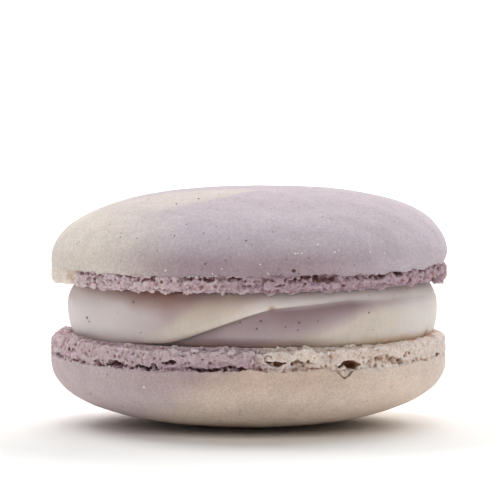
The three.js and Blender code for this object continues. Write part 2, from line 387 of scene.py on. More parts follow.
def blurred(values, reach):
    # the mean over a small cube of cells
    for axis in range(3):
        values = sum(np.roll(values, k, axis) for k in range(-reach, reach + 1)) / (2 * reach + 1)
    return values


def makeCells(shell):
    # a block of cells round the foot, in the shell's own frame
    cell = crumb["cell"]
    reach = shellRadius + 1.2
    low = np.array([-reach, -reach, -1.2])
    high = np.array([reach, reach, shell["footHeight"] + shell["backing"][2] + 0.6])
    shape = tuple(int(n) for n in np.ceil((high - low) / cell))
    x, y, h = (low[k] + cell * np.arange(shape[k], dtype=np.float32) for k in range(3))
    return {"low": low, "shape": shape, "x": x[:, None, None], "y": y[None, :, None], "h": h[None, None, :]}


def blockRound(cells, centre, reach):
    # the part of the block within reach of a point, and its cells as seen from that point
    low = ((centre - reach - cells["low"]) / crumb["cell"]).astype(int)
    high = ((centre + reach - cells["low"]) / crumb["cell"]).astype(int) + 2
    low, high = np.maximum(low, 0), np.minimum(high, cells["shape"])
    i, j, k = (slice(a, b) for a, b in zip(low, high))
    return (i, j, k), cells["x"][i] - centre[0], cells["y"][:, j] - centre[1], cells["h"][:, :, k] - centre[2]


def cellsAt(cells, points):
    # the indices of the cells in which points lie
    at = ((points - cells["low"]) / crumb["cell"]).round().astype(int)
    return tuple(np.moveaxis(np.clip(at, 0, np.array(cells["shape"]) - 1), -1, 0))


def surfaceOf(cells, solid, starts, steps):
    # follows lines of points, starts + k * steps, to the first that is inside the solid
    lines = starts[:, None] + steps[:, None] * np.arange(60)[None, :, None]
    inside = solid[cellsAt(cells, lines)] < 0
    return lines[np.arange(len(lines)), inside.argmax(1)], inside.any(1)


def addBall(cells, solid, centre, size, softness):
    # blends a round lump of crumb in
    cut, x, y, h = blockRound(cells, centre, size + softness)
    there, ball = solid[cut], np.sqrt(x * x + y * y + h * h) - size
    blend = np.clip(0.5 + (there - ball) / (2 * softness), 0, 1)
    solid[cut] = there * (1 - blend) + ball * blend - softness * blend * (1 - blend)


def cutPore(cells, solid, centre, size):
    cut, x, y, h = blockRound(cells, centre, size + 0.15)
    solid[cut] = np.maximum(solid[cut], size - np.sqrt(x * x + y * y + h * h))


def addEdgeCrumbs(cells, solid, rng, shell):
    # crumbs in clusters along the edge of the skin
    degrees = np.sort(rng.uniform(0, 360, crumb["edgeCrumbs"]))
    up = shell["footHeight"] + edgeLift(shell, degrees) + rng.uniform(-0.16, 0.08, len(degrees))
    out = edgeRadius(shell, degrees)
    clustered = lumps(onRim(degrees, shellRadius, 0.0), 2.2, shell["seed"]) > -0.15
    for k in np.flatnonzero(clustered & (roughness(shell, degrees) > 0.5)):
        size = rng.uniform(*crumb["edgeCrumbRadius"])
        addBall(cells, solid, onRim(degrees[k], out[k] - size * rng.uniform(0.5, 1.0), up[k]), size, 0.05)


def cutPocket(cells, solid, rng, foot, pocket):
    # a crevice is a row of small hollows of uneven size, all bent out of shape
    degrees, up, wide, tall, deep = pocket
    cut, x, y, h = blockRound(cells, onRim(degrees, shellRadius, foot + up), max(wide, deep) + 0.8)
    shape = solid[cut].shape
    bend = [0.28 * gridNoise(shape, 0.6, rng) + 0.14 * gridNoise(shape, 0.27, rng) for _ in range(3)]
    cosine, sine = math.cos(math.radians(degrees)), math.sin(math.radians(degrees))
    along = y * cosine - x * sine + bend[0]
    inwards = -(x * cosine + y * sine) + bend[1]
    rise = h + 0.8 * bend[2]
    hole = np.full(shape, -1.0, np.float32)
    count = max(3, round(2 * wide / 0.3))
    for k in range(count):
        share = (k + rng.uniform(0, 1)) / count * 2 - 1
        size = tall * (1 - 0.5 * share * share) * rng.uniform(0.5, 1.2)
        a = (along - share * wide) / (size * rng.uniform(0.9, 1.6))
        b = (rise - rng.uniform(-0.45, 0.45) * tall) / size
        c = inwards / (deep * rng.uniform(0.4, 1))
        hole = np.maximum(hole, (1 - np.sqrt(a * a + b * b + c * c)) * size)
    solid[cut] = np.maximum(solid[cut], hole)


def largestIsland(points, quads):
    # leaves out loose scraps and sealed bubbles
    parent = np.arange(len(points))
    edges = np.concatenate([quads[:, [k, (k + 1) % 4]] for k in range(4)])
    while True:
        a, b = parent[edges[:, 0]], parent[edges[:, 1]]
        low = np.minimum(a, b)
        before = parent.copy()
        np.minimum.at(parent, a, low)
        np.minimum.at(parent, b, low)
        parent = parent[parent]
        if (parent == before).all():
            break
    keep = parent == np.bincount(parent).argmax()
    renumber = np.cumsum(keep) - 1
    return points[keep], renumber[quads[keep[quads[:, 0]]]]


def thinned(points, quads, count):
    # fewer triangles where the surface is flat or hidden
    rough = bpy.data.meshes.new("rough")
    rough.from_pydata(points.tolist(), [], quads.tolist())
    holder = newObject("rough", rough)
    thin = holder.modifiers.new("thin", "DECIMATE")
    thin.ratio = min(1, count / (2 * len(quads)))
    shown = holder.evaluated_get(bpy.context.evaluated_depsgraph_get())
    made = bpy.data.meshes.new_from_object(shown)
    bpy.data.objects.remove(holder)
    points = np.empty(3 * len(made.vertices))
    made.vertices.foreach_get("co", points)
    return points.reshape(-1, 3), [list(face.vertices) for face in made.polygons]


def makeFoot(shell, creamAt, material):
    cell, foot = crumb["cell"], shell["footHeight"]
    rng = np.random.default_rng(shell["seed"])
    cells = makeCells(shell)
    shape, h = cells["shape"], cells["h"]
    r = np.hypot(cells["x"], cells["y"])
    angle = np.degrees(np.arctan2(cells["y"], cells["x"]))
    rough = roughness(shell, angle).astype(np.float32)
    swell = rough * sum(up * gridNoise(shape, size, rng) for up, size in crumb["swells"])

    # the plain ring: side, ledge, top inside the skin, and inner wall
    inset = np.interp(h / foot, *shell["footInset"]) * (0.4 + 0.6 * rough)
    inset = inset + cutsAt(shell["sunk"], angle) + cutsAt(shell["undercut"], angle) * ease(0.55, 0, h / foot)
    side = r - (shellRadius - inset) - swell
    outer = np.interp(r, *crumb["ledge"]).astype(np.float32)
    ledge = outer * (cutsAt(shell["bites"], angle) - 0.7 * swell) - h
    degrees, width, height, setBack = shell["backing"]
    top = h - foot - 0.35 - height * np.exp(-((arcBetween(angle, degrees) / width) ** 4))
    solid = np.maximum(np.maximum(side, ledge), np.maximum(top, crumb["inner"] - r)).astype(np.float32)

    # nodules stand a little out of the side, and ribs run up it
    for _ in range(crumb["nodules"]):
        size, up, degrees = rng.uniform(*crumb["noduleRadius"]), rng.uniform(0.15, 0.85), rng.uniform(0, 360)
        out = shellRadius - np.interp(up, *shell["footInset"]) - size * rng.uniform(0.7, 0.95)
        rise = max(up * foot, cutsAt(shell["bites"], degrees) + 0.75 * size)
        if roughness(shell, degrees) > 0.5:
            addBall(cells, solid, onRim(degrees, out, rise), size, 0.2)
    for degrees, size in shell["ribs"]:
        for up in np.linspace(0.35, 0.95, 7):
            addBall(cells, solid, onRim(degrees, shellRadius - size, up * foot), size, 0.12)
    envelope = solid.copy()
    for up, size in crumb["creases"]:
        creases = 0.6 - 1.6 * np.abs(gridNoise(shape, size, rng) + gridNoise(shape, 0.8 * size, rng))
        solid += 0.8 * up * creases * rough * (r > 20.4)

    # hardly wider than the skin, and behind it over its edge
    skinEdge = foot + cutsAt(shell["notches"], angle)
    allowed = edgeRadius(shell, angle) + shell["proud"] * ease(skinEdge, skinEdge - 0.4, h)
    behind = r - allowed + setBack * ease(skinEdge - 0.05, skinEdge + 0.15, h)
    solid = np.maximum(solid, behind).astype(np.float32)

    # bubbles that burst, granules and crumbs on the skin's edge, crevices, a few open pores
    notchRise = height * np.exp(-((arcBetween(np.arange(360), degrees) / width) ** 4))
    for kind in ("dimple", "granule", "pore"):
        count = round(crumb[kind + "s"] * (foot + 1.2) / 4)
        low, high = crumb[kind + "Radius"]
        angles = rng.uniform(0, 360, count)
        fromSide = rng.random(count) < 0.75
        upTo = foot + 0.1 + np.interp(angles, np.arange(360), notchRise)
        starts = np.where(fromSide[:, None], onRim(angles, shellRadius + 1, rng.uniform(-0.4, upTo)),
                          onRim(angles, rng.uniform(20.4, 22.4, count), -1.1))
        steps = np.where(fromSide[:, None], onRim(angles, -cell, 0.0), np.array([0, 0, cell]))
        at, hits = surfaceOf(cells, solid, starts, steps)
        hits &= roughness(shell, angles) > (0.8 if kind == "dimple" else 0.5)
        for point, step in zip(at[hits], steps[hits]):
            size = low + (high - low) * rng.random() ** 1.5
            inwards = step / cell
            if kind == "dimple":
                cutPore(cells, solid, point - inwards * size * rng.uniform(0.45, 0.85), size)
            elif kind == "granule":
                addBall(cells, solid, point + inwards * size * rng.uniform(0.2, 0.8), size, 0.05)
            else:
                cutPore(cells, solid, point + inwards * size * rng.uniform(-0.4, 0.5), size)
        if kind == "granule":
            addEdgeCrumbs(cells, solid, rng, shell)
            for pocket in shell["pockets"]:
                cutPocket(cells, solid, rng, foot, pocket)
            for k in range(shell["otherPockets"]):
                degrees = -5 + 213 * (k + rng.random()) / shell["otherPockets"]
                wide, tall, deep = rng.uniform(0.4, 1.8), rng.uniform(0.18, 0.4), rng.uniform(0.5, 1.2)
                if roughness(shell, degrees) > 0.9:
                    cutPocket(cells, solid, rng, foot, (degrees, rng.uniform(-0.5, -0.1), wide, tall, deep))

    grid = openvdb.FloatGrid(background=1.0)
    grid.copyFromArray(solid)
    points, quads = grid.convertToQuads(isovalue=0.0)
    points, quads = largestIsland(points.astype(float), quads.astype(int))
    print("foot before thinning:", 2 * len(quads), "triangles")
    points, faces = thinned(cells["low"] + points * cell, quads, crumb["faces"])

    # a crease has more crumb round it than a peak: creases get painted shade and peaks a painted
    # highlight by it, and cells behind the skin's edge count as full, so the painted shade is deepest there
    filled = np.clip(0.5 - solid / (2 * cell), 0, 1)
    filled[(h > skinEdge) & (r < shellRadius - 0.1)] = 1
    around = blurred(filled, crumb["around"])
    at = cellsAt(cells, points)
    shelter = around[at]
    world = placeShell(shell, points)
    duskAt, duskShare, lowest = shell["paintedFootShade"]
    marks = {
        "cream": creamAt(world),
        # hollow is painted shade, darker the deeper a point lies below the plain foot, with painted shadow at
        # the gap spots
        "hollow": np.maximum(ease(0.25, 0.9, -envelope[at]), 0.8 * nearSpots(world, shell["gapShadows"])),
        "crease": ease(0.48, 0.74, shelter),
        "peak": ease(0.48, 0.28, shelter),
        "toast": nearSpots(world, shell["toasts"]),
        # painted shade: greyer by x, above a lowest share of the foot's height
        "paintedFootShade": np.interp(world[:, 0], duskAt, duskShare) * ease(lowest, lowest + 0.45, points[:, 2] / foot),
    }
    makeShellPiece("foot", shell, world, faces, marks, material)


# The filling: a piped strand that laps over its own start. Round the side, fold says
# where: degrees; the fold's share of the height; how far the upper lap stands proud of
# the lower one; how sharp its lip is; how deep the lower lap dips under it.
filling = {
    "radius": 21.0, "shift": 0.42, "tuck": (0.6, 1.1), "bulgePower": 2.6,  # tucked in at the bottom and top
    "steps": 860, "rows": 29,
    "fold": [
        (222, 0.0, 0, 0, 0), (234, 0.0, 0.35, 0.3, 0), (242.5, 0.01, 0.8, 1, 0.3),
        (248, 0.11, 0.95, 1, 0.45), (255.5, 0.28, 0.75, 0.8, 0.35), (263.2, 0.464, 0.5, 0.5, 0.3),
        (269.2, 0.604, 0.35, 0.3, 0.25), (276.2, 0.73, 0.2, 0.2, 0.2), (284.4, 0.771, 0.1, 0.14, 0.16),
        (300, 0.86, 0.03, 0.06, 0.1), (322, 0.829, -0.03, 0.03, 0.08), (342, 0.81, -0.08, 0.04, 0.08),
        (375, 0.81, -0.08, 0.05, 0.08), (410, 0.78, -0.1, 0.1, 0.1), (430, 0.7, 0, 0, 0), (520, 0.3, 0, 0, 0),
    ],
    "lipRadius": 0.6, "dipWidth": 1.9,
    # Where the colour differs: degrees, share, and how far it reaches from the upper foot,
    # from the fold, from the lower foot in the middle, and from there elsewhere. The shade,
    # paintedFoldShade and corner stretches are painted shade under the upper shell, under the fold
    # and in the bottom corner.
    "shade": [(180, 0.5, 0.8), (212, 0.7, 1.4), (225, 0.8, 1.9), (234, 1, 3.4), (245, 1, 4.2),
              (254, 0.65, 4), (264, 0.5, 3.4), (274, 0.5, 1.2), (300, 0.4, 0.8)],
    "paintedFoldShade": [(225, 0, 3), (238, 0.4, 3), (250, 0.6, 3), (262, 0.6, 3.4), (269, 0.7, 4.8), (281, 1, 5),
                  (291, 1, 4), (302, 1, 2.8), (311, 0.35, 1.4), (325, 0.2, 0.8), (355, 0, 0.8)],
    "corner": [(240, 0, 1.8), (252, 1, 2.2), (266, 1, 2.2), (284, 0.8, 1.6), (300, 0, 1.2)],
    # seep is a painted warm glow along the bottom: degrees, share and reach
    "paintedWarmGlow": [(180, 0.4, 0.8), (240, 0.4, 0.9), (290, 0.3, 1), (303, 0.4, 1.1), (316, 1, 1.1), (350, 1, 1)],
    "pale": ([160, 195, 222, 242, 312, 330, 375], [0, 0.8, 0.75, 0.1, 0, 0.7, 0]),  # painted light over the whole height, from top to bottom: degrees and share
    "paintedLightBand": ([262, 274, 316, 332], [0, 0.8, 0.8, 0]),  # painted light on the upper lap alone
    "blots": [(234, 20.9, 16, 0.4), (232, 20.9, 15.3, 0.35), (277, 20.9, 14.6, 0.38),
              (341, 20.9, 10.9, 0.6)],
    "blend": ([258, 284], [0.03, 0.6]),  # over how much height the two laps' colours blend: degrees, mm
    # Where the cream shows, in mm: over the fold on the upper lap, and how far the lavender
    # reaches down the lower lap. Degrees run from the left end, 180.
    "creamBand": ([46, 56, 61, 66, 71, 76, 82, 90, 110, 200, 290],
                  [0, 0.7, 1.3, 2.2, 2.9, 3.2, 3.2, 3.6, 4, 6, 3]),
    "lavenderLap": ([60, 80, 92, 102, 112, 122, 133, 145, 160, 175],
                    [6, 5.6, 4.6, 3.5, 2.6, 1.7, 0.9, 0.45, 0.3, 0]),
}


def foldAt(degrees):
    # the fold's numbers at each angle, with the corners of the list rounded off
    start = filling["fold"][0][0]
    turn = np.mod(degrees - start, 360)
    listed = filling["fold"] + [(start + 360,) + filling["fold"][0][1:]]
    at = [point[0] for point in listed]
    offsets = np.linspace(-3, 3, 7)
    weights = np.cos(offsets / 3 * 1.4)
    found = []
    for k in (1, 2, 3, 4):
        values = [point[k] for point in listed]
        spread = [np.interp(start + np.mod(turn + offset, 360), at, values) for offset in offsets]
        found.append(np.average(spread, axis=0, weights=weights))
    return found


def creamOnFilling(degrees, height, foldHeight, isUpper):
    points = onRim(degrees, filling["radius"], height)
    warp = 0.35 * lumps(points, 3.5) + 0.15 * lumps(points, 1.2)
    start = np.mod(degrees - 180, 360)
    if isUpper:
        band = np.interp(start, *filling["creamBand"])
        over = height - foldHeight + warp
        return ease(band + 1.1, band - 0.7, over) * ease(0.1, 0.8, band) * ease(330, 250, start)
    lap = np.interp(start, *filling["lavenderLap"])
    under = foldHeight - height + 1.2 * warp
    return ease(lap - 1.0, lap + 1.2, under) * ease(80, 100, start) * ease(350, 290, start)


def makeFilling(material):
    steps, rows = filling["steps"], filling["rows"]
    degrees = np.arange(steps) * 360 / steps
    share, step, lip, dip = foldAt(degrees)
    angle = np.radians(degrees)
    tilt = math.tan(math.radians(upperShell["tilt"]))
    top = fillingHeight - (filling["radius"] * np.cos(angle) + filling["shift"]) * tilt
    foldHeight = 0.2 + np.clip(share, 0, 1) * (top - 0.5)
    onSide = onRim(degrees, filling["radius"], 0.0)

    def sideRadius(height, fromFold, setBack, rounding):
        fromMiddle = np.clip(np.abs(2 * height / top - 1), 0, 1)
        tuck = np.where(height < top / 2, *filling["tuck"])
        roll = tuck * fromMiddle ** filling["bulgePower"]
        lipRadius = filling["lipRadius"]
        inside = 1 - np.clip(fromFold / lipRadius, 0, 1)
        rounded = lipRadius * (1 - np.sqrt(1 - inside**2)) * rounding
        at = onSide + np.stack([0 * height, 0 * height, height], -1)
        swell = 0.13 * lumps(at, 9) + 0.05 * lumps(at, 3.2) + 0.015 * lumps(at, 1.1)
        flat = at * np.array([1, 1, 0.12])
        drawn = 0.012 * lumps(flat, 0.6, 3) * ease(262, 222, degrees) * ease(150, 180, degrees)
        return filling["radius"] - roll - rounded - setBack + swell + drawn

    rings = []  # radius and height
    along = np.linspace(0, 1, rows)
    for u in 1 - (1 - along) ** 1.7:  # up the lower lap, finer towards the fold
        height = u * foldHeight
        under = foldHeight - height
        hollow = dip * (1 - np.clip(under / filling["dipWidth"], 0, 1)) ** 2
        setBack = np.maximum(step, 0) + hollow
        rings.append((sideRadius(height, under, setBack, np.clip(-step * 2, 0, 1)), height))
    above = sideRadius(foldHeight, 0 * foldHeight, np.maximum(-step, 0), lip)
    crease = np.minimum(rings[-1][0], above) - 0.4 * lip**2
    rings.append((crease, foldHeight))
    rings.append((crease, foldHeight + 0.03))
    for u in along ** 1.7:
        height = foldHeight + 0.04 + u * (top - foldHeight - 0.04)
        rings.append((sideRadius(height, height - foldHeight, np.maximum(-step, 0), lip), height))

    # the hidden faces
    inner = 0.8 * filling["radius"] + 0 * degrees
    rings.insert(0, (inner, 0 * degrees))
    rings.append((inner, fillingHeight - (inner * np.cos(angle) + filling["shift"]) * tilt))

    uneven = 1 + 0.22 * lumps(onSide, 4)

    def stretchOf(kind, distance):
        # a stretch of other colour: its share at each angle, fading with the distance
        at, shareThere, reach = zip(*filling[kind])
        reachThere = np.interp(degrees, at, reach, period=360) * uneven
        return ease(reachThere, 0, distance) * np.interp(degrees, at, shareThere, period=360)

    points, marks = [], []
    blend = np.interp(degrees, *filling["blend"])
    pale, paintedLightBand = (np.interp(degrees, *filling[kind], period=360) for kind in ("pale", "paintedLightBand"))
    for radius, height in rings:
        at = onRim(degrees, radius, baseTop + height)
        at[:, 0] += filling["shift"]
        points.append(at)
        under = foldHeight - height
        below = ease(-0.8 * blend, blend, under)
        upper, lower = (creamOnFilling(degrees, height, foldHeight, isUpper) for isUpper in (True, False))
        marks.append({
            "cream": upper * (1 - below) + lower * below,
            "shade": stretchOf("shade", top - height),
            "paintedWarmGlow": stretchOf("paintedWarmGlow", height),
            "paintedFoldShade": np.maximum(stretchOf("paintedFoldShade", under), stretchOf("corner", height)) * below,
            "pale": np.maximum(pale, paintedLightBand * (1 - below)),
        })
    count = len(rings) * steps
    ends = np.array([[filling["shift"], 0, baseTop], [filling["shift"], 0, baseTop + fillingHeight]])
    points = np.concatenate(points + [ends])
    marks = {key: np.concatenate([ring[key] for ring in marks] + [[0, 0]]) for key in marks[0]}

    loop = np.arange(steps)
    following = np.roll(loop, -1)
    quads = np.column_stack([loop, following, following + steps, loop + steps])
    faces = np.concatenate([quads + k * steps for k in range(len(rings) - 1)]).tolist()
    faces += fan(loop, count) + fan((loop + count - steps)[::-1], count + 1)

    marks["blot"] = nearSpots(points, filling["blots"])
    makePiece("buttercream", points, faces, marks, material, "filling")
    side = slice(steps, count - steps)
    return points[side], onRim(np.tile(degrees, len(rings) - 2), 1.0, 0.0)


# Flecks: bits of almond skin that show dark, or brown through the buttercream, and of
# almond and sugar that show pale. Listed ones are x, y, z and size; the rest are random.
flecks = {
    "dark": [
        (-8, -11.6, 25.5, 0.12), (-5.7, -10.4, 26.1, 0.12), (-8.1, -18.9, 22.6, 0.09),
        (-0.3, -21.2, 22.2, 0.09), (4.9, -21.9, 18.9, 0.24), (5.6, -21.9, 18.6, 0.1),
        (6.6, -21.3, 20.4, 0.09), (3.2, -22, 19.2, 0.08), (-14, -15.5, 22, 0.08),
        (-4.8, -21.8, 19.7, 0.09), (-15.6, -16.2, 7, 0.08), (-17.7, -11.8, 4.6, 0.1),
    ],
    "brown": [
        (-13.1, -16.4, 15.1, 0.15), (-18.5, -9.9, 12.9, 0.15), (-18.3, -10.3, 12.4, 0.1),
        (-0.9, -20.4, 13.2, 0.13), (0.9, -20.5, 12.5, 0.13), (1.4, -20.5, 13.3, 0.14),
        (5.5, -20.2, 13.2, 0.13), (5.4, -20.2, 12.3, 0.1), (4, -20.4, 12.7, 0.1),
        (7.6, -19.5, 13.2, 0.1), (13.1, -16.5, 13.9, 0.1), (-12.2, -17.1, 11.8, 0.08),
    ],
    "pale": [
        (-9.2, -20.5, 18.9, 0.11), (2.1, -22.3, 18.6, 0.1), (1.3, -22.3, 19.8, 0.08), (5.2, -21.8, 21, 0.1),
        (-4, -22.1, 18.7, 0.09), (13.4, -18, 20.8, 0.1), (-20, -10, 20.8, 0.26), (7.8, -21, 22.3, 0.1),
        (5.5, -21.7, 21, 0.09), (5.8, -21.6, 21, 0.08), (9.6, -20.4, 21, 0.12), (10.1, -20.2, 21.4, 0.1),
        (-11.7, -19.2, 5.8, 0.16), (1.9, -22.2, 5.5, 0.1), (15.4, -16.3, 6.6, 0.1),
    ],
    # count, least and most size, and none lower than this
    "random": {"dark": (75, 0.03, 0.07), "brown": (26, 0.03, 0.07), "pale": (150, 0.03, 0.08)},
    "lowest": 2.5, "flatness": 0.3, "sunk": 0.3,
}


def roundBit():
    # a small ball of 80 faces, round the corners and mid-edges of one with 20
    golden = (1 + 5**0.5) / 2
    corners = [(0, s, t * golden) for s in (-1, 1) for t in (-1, 1)]
    corners = np.array([c[k:] + c[:k] for k in range(3) for c in corners], float)
    middles = [(a + b) / 2 for a, b in itertools.combinations(corners, 2) if np.linalg.norm(a - b) < 2.1]
    points = np.concatenate([corners, middles])
    points /= np.linalg.norm(points, axis=1)[:, None]
    ball = bmesh.new()
    for point in points:
        ball.verts.new(point)
    ball.verts.index_update()
    bmesh.ops.convex_hull(ball, input=ball.verts)
    faces = np.array([[corner.index for corner in face.verts] for face in ball.faces])
    ball.free()
    return points, faces


def scatterBits(name, places, facings, sizes, bits, rng, material, creamAt=None):
    # one mesh of many uneven bits, each lying flat on the surface at its place
    ball, ballFaces = roundBit()
    flatness, sunk = bits["flatness"], bits["sunk"]
    points, faces = [], []
    for place, facing, size in zip(places, facings, sizes):
        facing = facing / np.linalg.norm(facing)
        sideways = np.cross(facing, rng.normal(size=3))
        sideways /= np.linalg.norm(sideways)
        axes = np.array([sideways, np.cross(facing, sideways), facing])
        uneven = 1 + 0.3 * lumps(ball, 0.9, 50 * rng.random())
        stretch = np.array([rng.uniform(0.75, 1.35), 1, flatness])
        bit = (ball * uneven[:, None] * stretch) @ axes * size
        faces.append(ballFaces + len(ball) * len(points))
        points.append(place + facing * size * flatness * (0.5 - sunk) + bit)
    points = np.concatenate(points)
    marks = {"cream": creamAt(points)} if creamAt else {}
    makePiece(name, points, np.concatenate(faces).tolist(), marks, material)


def makeFlecks(kind, surfaces):
    surface, facing = (np.concatenate(parts) for parts in zip(*surfaces))
    rng = np.random.default_rng(9)
    listed = [np.linalg.norm(surface - np.array(fleck[:3]), axis=1).argmin() for fleck in flecks[kind]]
    count, least, most = flecks["random"][kind]
    chosen = rng.integers(0, len(surface), count)
    chosen = chosen[surface[chosen, 2] > flecks["lowest"]]
    picks = np.concatenate([listed, chosen])
    sizes = [fleck[3] for fleck in flecks[kind]] + rng.uniform(least, most, len(chosen)).tolist()
    finish = makeFinish(kind + " almond", dict(almondFlecks, plain=almondFlecks["tones"][kind]))
    scatterBits(kind + "_flecks", surface[picks], facing[picks], sizes, flecks, rng, finish)


# Loose crumbs of meringue on the lower ledge.
looseCrumbs = {"onLedge": 200, "size": (0.06, 0.18), "radius": (20.9, 22.0), "flatness": 0.8, "sunk": 0.4}


def makeLooseCrumbs(material):
    rng = np.random.default_rng(14)
    count = looseCrumbs["onLedge"]
    degrees, radius = rng.uniform(0, 360, count), rng.uniform(*looseCrumbs["radius"], count)
    dip = cutsAt(lowerShell["bites"], degrees) * np.interp(radius, *crumb["ledge"])
    places = onRim(degrees, radius, baseTop - dip - 0.05)
    sizes = rng.uniform(*looseCrumbs["size"], count)
    facings = np.tile([0, 0, 1.0], (count, 1)) + 0.4 * rng.normal(size=(count, 3))
    scatterBits("loose_crumbs", places, facings, sizes, looseCrumbs, rng, material,
                creamOnBaseFoot)


def colour(code):
    # an sRGB hex code as linear light
    parts = [int(code[k:k + 2], 16) / 255 for k in (0, 2, 4)]
    linear = [c / 12.92 if c <= 0.04045 else ((c + 0.055) / 1.055) ** 2.4 for c in parts]
    return (*linear, 1.0)


def add(tree, kind, inputs=None, **settings):
    # adds a shader node; an input is a value, or another node's output to link from
    node = tree.nodes.new("ShaderNode" + kind)
    for name, value in settings.items():
        setattr(node, name, value)
    for name, value in (inputs or {}).items():
        if isinstance(value, bpy.types.NodeSocket):
            tree.links.new(value, node.inputs[name])
        else:
            node.inputs[name].default_value = value
    return node


def perMetre(millimetres):
    # a texture's scale for a pattern this large, as coordinates are in metres
    return 1000 / millimetres


# The finishes, with sizes in mm. Batters are the lavender one, the cream one and how broken
# their boundary is. Patches are lighter and darker: size, amount, and height of the pattern
# where it isn't even. Dots are size, reach, share and softness, and stains size and range.
# Tints lie one over the other, each by a mark of the piece or a pattern: its colour, or one
# for each batter, strength and blending. Relief is size and depth.

# Almond meringue skin: ground almond, sugar and egg white, dried and baked. A dull sugar
# crust: the eye sees fine sandy grain, soft mottling, freckles and pinholes. The crown and
# the rim above the foot are darker as painted shade, and the pinholes as painted shade too.
upperSkin = {
    "batters": ("c5b9c1", "dcd2c8", 0.35),
    "patches": [(2.4, 0.05), (0.3, 0.1), (0.14, 0.09)],
    "dots": {"freckles": (1.3, 0.17, 0.4, 0.7), "pinholes": (1.15, 0.11, 0.3, 0.5)},
    # the crown and edge tints are painted shade, and the pinholes tint is painted shade in the holes
    "tints": [("crown", "e0dcdc", 1, "MULTIPLY"), ("edge", "d8cbcd", 1, "MULTIPLY"),
              ("freckles", "8a6a64", 0.5), ("pinholes", "6a5a60", 0.6)],
    "relief": [(0.9, 0.035), (0.3, 0.045)], "pinholeDepth": 0.06,
    "shader": {"IOR": 1.45, "Roughness": 0.82, "Subsurface Weight": 0.25,
               "Subsurface Radius": (0.9, 0.65, 0.5), "Subsurface Scale": 0.0008},
}
# the lower shell's batters are lighter and warmer: partly baked warmer on the hot tray, and partly painted
# warm light bounced up from the table; its crown and edge tints are weaker painted shade
lowerSkin = dict(upperSkin, batters=("c8b7ba", "e6d4c5", 0.35), tints=[
    ("crown", "f8f2ec", 1, "MULTIPLY"), ("edge", "ebe3e0", 1, "MULTIPLY"),
    ("freckles", "a3836f", 0.5), ("pinholes", "6a5a60", 0.6)])
# Meringue crumb: the same batter where it rose and tore. Open and rough, so it scatters
# more light and looks paler. Its peaks carry a painted highlight, and its creases, hollows,
# gaps and middle stretch painted shade.
meringueCrumb = {
    "batters": ("c4aeb5", "e4d6ca", 0.5),
    "patches": [(1.0, 0.08), (0.25, 0.15)], "stains": (1.8, 0.52, 0.72),
    # the peak tint is a painted highlight; the dusk, crease and hollow tints are painted shade
    "tints": [("stains", "b5948c", 0.45), ("peak", "ece0e2", 0.45), ("paintedFootShade", "dcd4db", 1, "MULTIPLY"),
              ("crease", ("b08880", "d2b09a", 0.5), 1, "MULTIPLY"), ("toast", "ac7a4c", 0.85),
              ("hollow", ("744c4a", "8c5f44", 0.5), 1)],
    "relief": [(0.25, 0.08)],
    "shader": {"IOR": 1.45, "Roughness": 0.9, "Subsurface Weight": 0.4,
               "Subsurface Radius": (1.0, 0.6, 0.5), "Subsurface Scale": 0.0008},
}
# Buttercream: butter and sugar whipped smooth and piped. Dense, softly glossy fat, which
# light goes deep into. Its colour has painted shade under the upper shell, under the fold and
# in the bottom corner, a painted warm glow along the bottom, and painted light towards the
# left and right ends and on the upper lap.
butterCream = {
    "batters": ("c6b6b9", "d8cdc1", 0.2),
    "patches": [(1.6, 0.035), (0.35, 0.03), (0.5, 0.02, 0.15)],
    # the pale tint is painted light, the paintedFoldShade and shade tints painted shade, and the seep tint a
    # painted warm glow
    "tints": [("pale", "e4dcda", 1), ("paintedFoldShade", "7c5a60", 0.78), ("shade", "9a6e5a", 0.8),
              ("paintedWarmGlow", "d2a264", 0.6), ("blot", "9c6230", 0.8)],
    "relief": [(0.8, 0.02), (0.3, 0.012)],
    "shader": {"IOR": 1.46, "Roughness": 0.5, "Subsurface Weight": 0.8,
               "Subsurface Radius": (1.0, 0.65, 0.45), "Subsurface Scale": 0.0022},
}
# Almond flecks: ground nut with scraps of its brown skin, and grains of sugar.
almondFlecks = {"patches": [(0.2, 0.15)], "shader": {"IOR": 1.47, "Roughness": 0.6},
                "tones": {"dark": "5a3d3e", "pale": "efe9e2", "brown": "86646a"}}


def newMaterial(name, settings):
    material = bpy.data.materials.new(name)
    material.use_nodes = True
    shader = material.node_tree.nodes["Principled BSDF"]
    for key, value in settings.items():
        shader.inputs[key].default_value = value
    return material, shader


def patchesOf(tree, where, size, low, high, least=0.0, most=1.0):
    # soft patches of one size, from least to most
    noiseNode = add(tree, "TexNoise", {"Vector": where, "Scale": perMetre(size), "Detail": 2.0})
    return add(tree, "MapRange", {"Value": noiseNode.outputs["Fac"], "From Min": low, "From Max": high,
                                  "To Min": least, "To Max": most}).outputs[0]


def dotsOf(tree, where, size, reach, share, softness):
    # round dots: 1 inside, at a random share of the cells of one size
    cells = add(tree, "TexVoronoi", {"Vector": where, "Scale": perMetre(size)})
    near = add(tree, "MapRange", {"Value": cells.outputs["Distance"], "From Min": reach,
                                  "From Max": reach * (1 - softness), "To Min": 0.0, "To Max": 1.0})
    picked = add(tree, "SeparateColor", {"Color": cells.outputs["Color"]})
    chosen = add(tree, "Math", {0: picked.outputs[0], 1: share}, operation="LESS_THAN")
    return add(tree, "Math", {0: near.outputs[0], 1: chosen.outputs[0]}, operation="MULTIPLY").outputs[0]


def mottled(tree, where, base, size, amount, flat=1.0):
    # lightens and darkens a colour by a few percent in patches of one size
    place = add(tree, "VectorMath", {0: where, 1: (1, 1, flat)}, operation="MULTIPLY").outputs[0]
    spread = patchesOf(tree, place, size, 0.3, 0.7, 1 - amount, 1 + amount)
    return add(tree, "VectorMath", {0: base, 1: spread}, operation="MULTIPLY").outputs[0]


